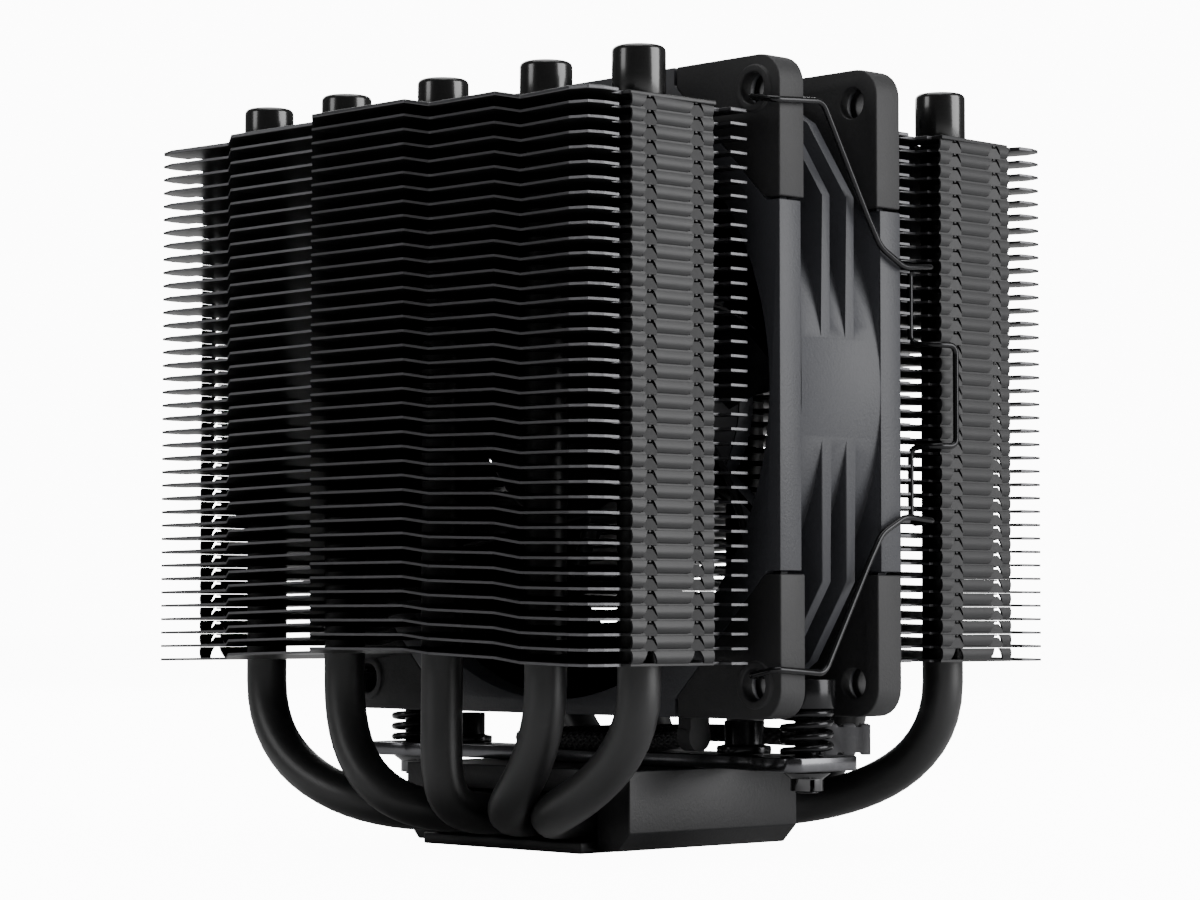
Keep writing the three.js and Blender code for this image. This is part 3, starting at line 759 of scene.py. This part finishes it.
def makeBar():
    size = barSize
    bar = drawOutline("mountingBar", [(x, y, size["bottom"]) for x, y in barOutline()])
    thicken(bar, (0, 0, size["thick"]))
    holes = []
    for y in (-size["screwY"], size["screwY"]):
        holes.append(addRod("hole", size["hole"], (0, y, 10), (0, y, 16), 32))
    combine(bar, [fuse("holes", holes)], "DIFFERENCE")
    softenEdges(bar, 0.2, 3, 50)
    smooth(bar, 35)
    finishPiece(bar, finish["barPlate"], "cooler", ["mounting_bar"])


pillarSize = {"y": 29.8, "foot": 14.1, "footRadius": 3.9, "footTop": 15.1, "radius": 2.8, "top": 18.7,
              "shoulder": 0.25, "wall": 1.1, "recess": 1.2}


def makePillar(place, sign):
    size = pillarSize
    y = sign * size["y"]
    foot, footTop = (0, y, size["foot"]), (0, y, size["footTop"])
    pillar = addRod(f"{place}BarPillar", size["footRadius"], foot, footTop)
    openMesh(pillar)
    pickFaces(pillar, lambda middle, normal: normal.z > 0.9)
    bpy.ops.mesh.inset(thickness=(size["footRadius"] - size["radius"]) * mm, depth=0)
    shiftPicked((0, 0, size["shoulder"]))
    pushOut((0, 0, size["top"] - size["footTop"] - size["shoulder"]))
    bpy.ops.mesh.inset(thickness=size["wall"] * mm, depth=0)
    pushOut((0, 0, -size["recess"]))
    closeMesh()
    softenEdges(pillar, 0.12, 2)
    smooth(pillar, 35)
    finishPiece(pillar, finish["blackSteel"], "cooler", [f"bar_pillar_{place}"])


# spring screws: head with a cross recess, ringed shank, spring and bright collar
screwSize = {"y": 42, "head": 4.0, "headBottom": 20.7, "headTop": 24.8, "shank": 1.7, "thread": 10.9,
             "threadStep": 0.5, "threadDeep": 0.2, "slotLong": 2.3, "slotHalf": 0.55, "slotDeep": 1.8}
springSize = {"radius": 3.3, "wire": 0.55, "turns": 3, "bottom": 14.1, "top": 20.6, "press": 1.6}
collarSize = {"bottom": 9.2, "top": 11.7, "radius": 2.35, "lip": 3.4, "lipHigh": 0.8, "bore": 2.0}


def makeScrew(place, sign):
    size = screwSize
    y = sign * size["y"]
    headBottom, headTop = (0, y, size["headBottom"]), (0, y, size["headTop"])
    screw = addRod(f"{place}SpringScrew", size["head"], headBottom, headTop)
    openMesh(screw)
    pickFaces(screw, lambda middle, normal: normal.z < -0.9)
    bpy.ops.mesh.inset(thickness=(size["head"] - size["shank"]) * mm, depth=0)
    pushOut((0, 0, size["thread"] - size["headBottom"]))
    # thread rings down to the tip, narrow and wide by turns
    root = (size["shank"] - size["threadDeep"]) / size["shank"]
    for factor in (root, 1 / root, root, 1 / root):
        pushOut((0, 0, -size["threadStep"]))
        bpy.ops.transform.resize(value=(factor, factor, 1))
    closeMesh()
    floor, top = size["headTop"] - size["slotDeep"], size["headTop"] + 1
    reach, half = size["slotLong"], size["slotHalf"]
    long = addBlock("slotA", (-reach, y - half, floor), (reach, y + half, top))
    wide = addBlock("slotB", (-half, y - reach, floor), (half, y + reach, top))
    combine(screw, [long, wide], "DIFFERENCE")
    softenEdges(screw, 0.15, 2)
    smooth(screw, 35)
    finishPiece(screw, finish["blackSteel"], f"{place}_screw", [f"spring_screw_{place}"])


def makeSpring(place, sign):
    size = springSize
    y = sign * screwSize["y"]
    low, high = size["bottom"] + size["wire"], size["top"] - size["wire"]
    steps = 150
    points = []
    for step in range(steps + 1):
        share = step / steps
        angle = 2 * math.pi * (size["turns"] + 1) * share
        # about a third of a turn at each end lies flat
        rise = min(1, max(0, (share - 0.09) / 0.82))
        u, v = size["radius"] * math.cos(angle), size["radius"] * math.sin(angle)
        points.append((u, y + v, low + (high - low) * rise))
    spring = addTube(f"{place}Spring", points, size["wire"], True, 3)
    smooth(spring, 50)
    finishPiece(spring, finish["blackSteel"], "cooler", [f"screw_spring_{place}"])
    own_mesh(spring)


def makeCollar(place, sign):
    size = collarSize
    y = sign * screwSize["y"]
    neck = size["top"] - size["lipHigh"]
    collar = addRod(f"{place}ScrewCollar", size["radius"], (0, y, size["bottom"]), (0, y, neck))
    openMesh(collar)
    pickFaces(collar, lambda middle, normal: normal.z > 0.9)
    pushOut((0, 0, size["lipHigh"]))
    bpy.ops.mesh.select_mode(type="VERT")
    factor = size["lip"] / size["radius"]
    bpy.ops.transform.resize(value=(factor, factor, 1), center_override=(0, y * mm, size["top"] * mm))
    closeMesh()
    bore = addRod("bore", size["bore"], (0, y, size["bottom"] - 1), (0, y, size["top"] + 1), 24)
    slits = []
    for x in (-1.1, 1.1):
        slits.append(addBlock("slit", (x - 0.3, y - 4, size["bottom"] - 1), (x + 0.3, y + 4, neck - 0.1)))
    combine(collar, [bore, *slits], "DIFFERENCE")
    softenEdges(collar, 0.15, 2, 60)
    smooth(collar, 25)
    finishPiece(collar, finish["collarSteel"], f"{place}_collar", [f"screw_collar_{place}"])


makeBar()
for place, sign in (("near", -1), ("far", 1)):
    makePillar(place, sign)
    makeScrew(place, sign)
    makeSpring(place, sign)
    makeCollar(place, sign)
print("mounting bar and screws made")


# fan frame: two flanges, the round barrel between them, stiffening ribs and the motor's mount
fanSize = {"half": 46, "depth": 12.5, "flange": 4.3, "corner": 4, "bore": 43.9, "barrel": 45.95,
           "hole": 41.25, "pad": 20, "padLip": 3, "padThick": 5, "web": 0.7}
ribCorner = [(45.4, 27), (38.2, 38.2), (27, 45.4)]


def fanSpot(x, u, v):
    return (x, fanMiddle.y + u, fanMiddle.z + v)


def roundCorner(half, cut, steps):
    corner = []
    for step in range(steps + 1):
        angle = math.pi / 2 * step / steps
        corner.append((half - cut + cut * math.cos(angle), half - cut + cut * math.sin(angle)))
    return corner


# the same corner at all four quarters
def squareOutline(corner, x):
    points = []
    for quarter in range(4):
        c, s = round(math.cos(math.pi / 2 * quarter)), round(math.sin(math.pi / 2 * quarter))
        points += [(u * c - v * s, u * s + v * c) for u, v in corner]
    return [fanSpot(x, u, v) for u, v in points]


def padOutline(inset, x):
    size = fanSize
    edge, inner, corner = size["half"] - inset, size["half"] - size["pad"] + inset, size["corner"] - inset
    points = [(edge, inner)]
    for step in range(7):
        angle = math.radians(15 * step)
        points.append((edge - corner + corner * math.cos(angle), edge - corner + corner * math.sin(angle)))
    points += [(inner, edge), (inner, edge - size["padLip"]), (edge - size["padLip"], inner)]
    return [fanSpot(x, u, v) for u, v in points]


def turnQuarters(piece, quarters):
    return turnBy(piece, math.pi / 2 * quarters, "X", fanMiddle)


def makeFlange(sign):
    size = fanSize
    inner, outer = size["depth"] - size["flange"], size["depth"]
    start = inner if sign > 0 else -outer
    flange = drawOutline("flange", squareOutline(roundCorner(size["half"], size["corner"], 6), start))
    thicken(flange, (size["flange"], 0, 0))
    pockets = []
    for quarter in range(4):
        pocketStart = inner - 1.2 if sign > 0 else -outer - 1
        pocket = drawOutline("pocket", padOutline(-0.45, pocketStart))
        thicken(pocket, (size["flange"] + 2.2, 0, 0))
        pockets.append(turnQuarters(pocket, quarter))
    combine(flange, [fuse("pockets", pockets)], "DIFFERENCE")
    webs = []
    middle = sign * (size["depth"] - size["padThick"] / 2)
    for quarter in range(4):
        low = fanSpot(middle - size["web"], 24, 24)
        high = fanSpot(middle + size["web"], size["half"] - 1.6, size["half"] - 1.6)
        web = addBlock("web", low, high)
        webs.append(turnQuarters(web, quarter))
    return combine(flange, [fuse("webs", webs)], "UNION")


def makeFanFrame():
    size = fanSize
    inner = size["depth"] - size["flange"]
    frameBody = addRod("fanFrame", size["barrel"], fanSpot(-inner - 1, 0, 0), fanSpot(inner + 1, 0, 0), 128)
    ribs = []
    for x in (-3.4, 1.6):
        rib = drawOutline("rib", squareOutline(ribCorner, x))
        ribs.append(thicken(rib, (1.8, 0, 0)))
    combine(frameBody, [makeFlange(-1), makeFlange(1), *ribs], "UNION")
    reach = size["depth"] + 1
    bore = addRod("bore", size["bore"], fanSpot(-reach, 0, 0), fanSpot(reach, 0, 0), 128)
    combine(frameBody, [bore], "DIFFERENCE")
    holes = []
    for u in (-size["hole"], size["hole"]):
        for v in (-size["hole"], size["hole"]):
            holes.append(addRod("hole", 2.9, fanSpot(-reach, u, v), fanSpot(reach, u, v), 32))
    combine(frameBody, [fuse("holes", holes)], "DIFFERENCE")
    softenEdges(frameBody, 0.25, 2, 50)
    mount = makeMotorMount()
    whole = fuse("fanFrame", [frameBody, mount])
    trimToSquare(whole)
    smooth(whole, 35)
    stands = ["fan_flange_front", "fan_flange_rear", "fan_barrel", "fan_motor_mount"]
    finishPiece(whole, finish["framePlastic"], "cooler", stands)


mountSize = {"plate": 17, "start": 9.6, "tube": 5, "tubeStart": -5.5, "pocket": 3.9, "arm": 1.6}


def makeMotorMount():
    size = fanSize
    start, arm = mountSize["start"], mountSize["arm"]
    plate = addRod("motorMount", mountSize["plate"], fanSpot(start, 0, 0), fanSpot(size["depth"], 0, 0), 64)
    tubeStart = mountSize["tubeStart"]
    tube = addRod("bearingTube", mountSize["tube"], fanSpot(tubeStart, 0, 0), fanSpot(start + 0.4, 0, 0), 32)
    arms = []
    for quarter in range(4):
        inner, outer = fanSpot(start + 0.3, -arm, 14), fanSpot(size["depth"] - 0.1, arm, size["bore"] + 0.5)
        spoke = addBlock("arm", inner, outer)
        openMesh(spoke)
        pickFaces(spoke, lambda middle, normal: normal.z > 0.9)
        shiftPicked((0, 3, 0))
        closeMesh()
        arms.append(turnBy(spoke, math.radians(45 + 90 * quarter), "X", fanMiddle))
    combine(plate, [tube, *arms], "UNION")
    pocketStart, pocketEnd = fanSpot(tubeStart - 0.5, 0, 0), fanSpot(start - 0.2, 0, 0)
    pocket = addRod("pocket", mountSize["pocket"], pocketStart, pocketEnd, 32)
    combine(plate, [pocket], "DIFFERENCE")
    softenEdges(plate, 0.3, 2, 40)
    return plate


# an eased edge may swell a hair past the moulding's own square
def trimToSquare(piece):
    size = fanSize
    openMesh(piece)
    mesh = bmesh.from_edit_mesh(piece.data)
    for point in mesh.verts:
        for axis in (1, 2):
            low, high = fanMiddle[axis] - size["half"], fanMiddle[axis] + size["half"]
            point.co[axis] = min(max(point.co[axis], low * mm), high * mm)
    bmesh.update_edit_mesh(piece.data)
    closeMesh()


def makePad(name, sign, quarter):
    size = fanSize
    outer = sign * size["depth"]
    start = outer - size["padThick"] if sign > 0 else outer
    pad = drawOutline(name, padOutline(0, start))
    thicken(pad, (size["padThick"], 0, 0))
    centre = (size["hole"], size["hole"])
    ring = addRod("ring", 3.3, fanSpot(outer - sign * 0.5, *centre), fanSpot(outer + sign * 0.5, *centre), 40)
    combine(pad, [ring], "UNION")
    middle = sign * (size["depth"] - size["padThick"] / 2)
    half = size["web"] + 0.1
    edge = size["half"] - 1.5
    slit = addBlock("slit", fanSpot(middle - half, 22, 22), fanSpot(middle + half, edge, edge))
    hole = addRod("hole", 2.2, fanSpot(-20, *centre), fanSpot(20, *centre), 40)
    combine(pad, [slit, hole], "DIFFERENCE")
    softenEdges(pad, 0.3, 3, 50)
    turnQuarters(pad, quarter)
    trimToSquare(pad)
    smooth(pad, 35)
    return pad


def makeFan():
    makeFanFrame()
    print("fan frame made")
    corners = ["upper_far", "lower_far", "lower_near", "upper_near"]
    quarters = [0, 3, 2, 1]
    for place, sign in (("front", -1), ("rear", 1)):
        for corner, quarter in zip(corners, quarters):
            side = corner.split("_")
            pad = makePad(f"{place}Pad{side[0].title()}{side[1].title()}", sign, quarter)
            finishPiece(pad, finish["padRubber"], "cooler", [f"fan_pad_{place}_{corner}"])


makeFan()
print("fan pads made")


# impeller: hub cup and swept blades
rotorSize = {"hub": 18, "front": -10.4, "back": 8.6, "wall": 1.6, "tip": 42.6, "blades": 9, "thick": 0.9}


def makeBlade(angle):
    size = rotorSize
    rows, columns = 9, 7
    bpy.ops.mesh.primitive_grid_add(x_subdivisions=columns - 1, y_subdivisions=rows - 1, size=1)
    blade = bpy.context.object
    blade.name = "blade"
    openMesh(blade, "VERT")
    mesh = bmesh.from_edit_mesh(blade.data)
    for point in mesh.verts:
        across, along = point.co.x * 2, point.co.y + 0.5
        radius = (size["hub"] - 0.6 + (size["tip"] - size["hub"] + 0.6) * along)
        wrap = (15.0 - 6.0 * along) / radius / 2
        camber = 0.06 * (1 - across * across)
        turn = angle + 0.34 * along ** 1.6 + across * wrap + camber
        x = -1.2 + across * (8.0 - 1.4 * along)
        point.co = Vector(fanSpot(x, radius * math.cos(turn), radius * math.sin(turn))) * mm
    bmesh.update_edit_mesh(blade.data)
    closeMesh()
    modifier = blade.modifiers.new("thick", "SOLIDIFY")
    modifier.thickness = size["thick"] * mm
    modifier.offset = 0
    applyAll(blade)
    softenEdges(blade, 0.25, 2, 60)
    return blade


def makeImpeller():
    size = rotorSize
    hub = addRod("impeller", size["hub"], fanSpot(size["front"], 0, 0), fanSpot(size["back"], 0, 0), 96)
    openMesh(hub)
    pickFaces(hub, lambda middle, normal: normal.x > 0.9)
    bpy.ops.mesh.inset(thickness=size["wall"] * mm, depth=0)
    depth = size["back"] - size["front"] - size["wall"]
    pushOut((-depth, 0, 0))
    pickFaces(hub, lambda middle, normal: normal.x < -0.9 and middle.x < size["front"] + 0.01)
    bpy.ops.mesh.inset(thickness=1.2 * mm, depth=0)
    bpy.ops.mesh.inset(thickness=1.0 * mm, depth=-0.35 * mm)
    closeMesh()
    softenEdges(hub, 0.5, 3, 50)
    blades = [makeBlade(2 * math.pi * index / size["blades"]) for index in range(size["blades"])]
    rotor = fuse("impeller", [hub, *blades])
    openMesh(rotor)
    bpy.ops.mesh.normals_make_consistent(inside=False)
    closeMesh()
    smooth(rotor, 40)
    finishPiece(rotor, finish["rotorPlastic"], "rotor", ["impeller"])


makeImpeller()
print("impeller made")


# wire clips: hook, slope, hold in the tower's groove, and the finger loop
wireSize = {"radius": 0.45, "groove": 44.3, "grooveX": 19.7}


def clipRoute(side, fanSide):
    plane = fanSide + 0.8
    hole = fanSide - 4.75
    groove, grooveX = wireSize["groove"], wireSize["grooveX"]
    loop = max(plane - 0.9, 48.3)
    half = [
        (24.6, loop, 0),
        (24.6, loop, 7.3),
        (21.2, loop - 0.6, 7.3),
        (grooveX, groove, 7.5),
        (grooveX, groove, 18.5),
        (18.7, plane, 18.2),
        (12.4, plane, 17.7),
        (7.4, plane, 20.2),
        (4.6, plane, 24.4),
        (-4.6, plane, 39.7),
        (-14.2, plane, 39.0),
        (-14.2, hole + 0.8, 39.9),
        (-12.8, hole, 40.0),
        (-10.3, hole, 40.0),
    ]
    upper = [(x, side * y, fanMiddle.z + z) for x, y, z in half]
    lower = [(x, side * y, fanMiddle.z - z) for x, y, z in reversed(half[1:])]
    return roundRoute(lower + upper[1:], 1.3)


def makeClip(place, side):
    fanSide = fanSize["half"] - side * -fanMiddle.y
    clip = addTube(f"{place}FanClip", clipRoute(side, fanSide), wireSize["radius"], True, 3)
    smooth(clip, 50)
    finishPiece(clip, finish["blackSteel"], f"{place}_clip", [f"fan_clip_{place}"])


makeClip("near", -1)
makeClip("far", 1)
print("wire clips made")


# fan lead: relief under the frame, braided sleeve, connector
leadSize = {"radius": 1.3, "exit": (-6.5, -24.5, 16.6)}
leadRoute = [
    (-6.5, -24.5, 16.6), (-6.5, -21, 15.8), (-6.6, -15, 15.5), (-6.8, -8, 15.4), (-6.8, 0, 15.4),
    (-6.2, 7, 15.4), (-3.4, 13, 15.4), (1.2, 16, 15.4), (6, 14.4, 15.5), (8.8, 9.6, 15.7), (9.6, 3, 16),
    (9.6, -5, 16.2), (9.4, -13, 16.4), (9.6, -20, 16.4), (10.4, -25, 16.2), (12.5, -29.5, 16),
    (13.4, -30.6, 15.9),
]


def throughPoints(points, steps=4):
    points = [Vector(point) for point in points]
    ends = [2 * points[0] - points[1], *points, 2 * points[-1] - points[-2]]
    route = []
    for a, b, c, d in zip(ends, ends[1:], ends[2:], ends[3:]):
        for step in range(steps):
            t = step / steps
            route.append(0.5 * (2 * b + (c - a) * t + (2 * a - 5 * b + 4 * c - d) * t * t
                                + (3 * b - a - 3 * c + d) * t ** 3))
    route.append(points[-1])
    return route


def makeBraid():
    material = makeFinish("braidedSleeve", {"color": (0.006, 0.006, 0.0065), "roughness": 0.6, "grain": 1500})
    nodes, links = material.node_tree.nodes, material.node_tree.links
    place = nodes.new("ShaderNodeTexCoord")
    strands = []
    for slope in (1, -1):
        mapping = nodes.new("ShaderNodeMapping")
        mapping.inputs["Rotation"].default_value = (slope * math.radians(55), 0, 0)
        links.new(place.outputs["Object"], mapping.inputs["Vector"])
        wave = nodes.new("ShaderNodeTexWave")
        wave.bands_direction = "Y"
        wave.inputs["Scale"].default_value = 420
        links.new(mapping.outputs["Vector"], wave.inputs["Vector"])
        strands.append(wave)
    over = nodes.new("ShaderNodeMath")
    over.operation = "MAXIMUM"
    links.new(strands[0].outputs["Fac"], over.inputs[0])
    links.new(strands[1].outputs["Fac"], over.inputs[1])
    bump = nodes.new("ShaderNodeBump")
    bump.inputs["Strength"].default_value = 0.9
    bump.inputs["Distance"].default_value = 0.0003
    links.new(over.outputs[0], bump.inputs["Height"])
    shader = nodes["Principled BSDF"]
    links.new(bump.outputs["Normal"], shader.inputs["Normal"])
    return material


def makeLead():
    route = throughPoints(leadRoute)
    lead = addTube("fanLead", route, leadSize["radius"], True, 4)
    smooth(lead, 60)
    finishPiece(lead, makeBraid(), "cooler", ["fan_lead"])
    plug = addBlock("fanConnector", (-4.4, -2.9, -2.2), (4.4, 2.9, 2.2))
    ribs = []
    for z in (-2.2, 2.2):
        for x in (-2.6, 0, 2.6):
            ribs.append(addBlock("groove", (x - 0.4, -4, z - 0.35), (x + 0.4, 4, z + 0.35)))
    combine(plug, [fuse("grooves", ribs)], "DIFFERENCE")
    softenEdges(plug, 0.2, 2)
    turnBy(plug, -math.pi / 4, "Z")
    moveBy(plug, (16.2, -33.4, 15.8))
    smooth(plug, 35)
    finishPiece(plug, finish["plugNylon"], "cooler", ["fan_connector"])
    relief = addRod("leadRelief", 2.2, (-6.5, -27.4, 16.6), (-6.5, -24.9, 16.6), 32)
    neck = addBlock("neck", (-8.4, -27.4, 16.9), (-4.6, -24.9, 19.3))
    combine(relief, [neck], "UNION")
    softenEdges(relief, 0.3, 2)
    smooth(relief, 40)
    finishPiece(relief, finish["padRubber"], "cooler", ["lead_relief"])


makeLead()
print("fan lead made")


# the motor's hidden parts keep their frame shapes and get their finishes
innerFinishes = {
    "rotor_shaft": "brightSteel",
    "stator": "brightSteel",
    "magnet_ring": "ferrite",
    "bearing_sleeve": "bearingBronze",
    "circuit_board": "boardMask",
}
for node, name in innerFinishes.items():
    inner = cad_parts[node]
    inner.data.materials.clear()
    inner.data.materials.append(finish[name])


# studio: pale floor, a bright surround and large soft lights
def makeStudio():
    bpy.ops.mesh.primitive_circle_add(vertices=96, radius=6, fill_type="NGON", location=(0, 0, -0.0002))
    floor = bpy.context.object
    floor.name = "floor"
    pale = bpy.data.materials.new("paleFloor")
    pale.use_nodes = True
    shader = pale.node_tree.nodes["Principled BSDF"]
    shader.inputs["Base Color"].default_value = (0.8, 0.8, 0.8, 1)
    shader.inputs["Roughness"].default_value = 0.7
    shader.inputs["Emission Color"].default_value = (1, 1, 1, 1)
    # seen directly the floor is as bright as the backdrop; to the object it stays a plain pale floor
    ray = pale.node_tree.nodes.new("ShaderNodeLightPath")
    glow = pale.node_tree.nodes.new("ShaderNodeMapRange")
    glow.inputs["To Min"].default_value = 0.0
    glow.inputs["To Max"].default_value = 11.7
    pale.node_tree.links.new(ray.outputs["Is Camera Ray"], glow.inputs["Value"])
    pale.node_tree.links.new(glow.outputs["Result"], shader.inputs["Emission Strength"])
    floor.data.materials.append(pale)
    world = bpy.data.worlds.new("surround")
    bpy.context.scene.world = world
    world.use_nodes = True
    nodes, links = world.node_tree.nodes, world.node_tree.links
    back = nodes["Background"]
    back.inputs["Color"].default_value = (1, 1, 1, 1)
    ray = nodes.new("ShaderNodeLightPath")
    level = nodes.new("ShaderNodeMapRange")
    level.inputs["To Min"].default_value = 0.1
    level.inputs["To Max"].default_value = 12.0
    links.new(ray.outputs["Is Camera Ray"], level.inputs["Value"])
    links.new(level.outputs["Result"], back.inputs["Strength"])


lights = [
    {"name": "keyRight", "place": (0.4, -0.75, 0.3), "size": 0.6, "power": 8},
    {"name": "fillLeft", "place": (-0.9, 0.35, 0.35), "size": 0.35, "power": 1.6},
    {"name": "top", "place": (0, 0, 1.0), "size": 0.9, "power": 8},
    {"name": "rear", "place": (0.5, 0.8, 0.6), "size": 0.7, "power": 6},
]


def addLights():
    target = Vector((0, 0, 0.055))
    for light in lights:
        place = Vector(light["place"])
        turn = (place - target).to_track_quat("Z", "Y").to_euler()
        bpy.ops.object.light_add(type="AREA", location=place, rotation=turn)
        lamp = bpy.context.object
        lamp.name = light["name"]
        lamp.data.size = light["size"]
        lamp.data.energy = light["power"]


makeStudio()
addLights()
print("studio set")
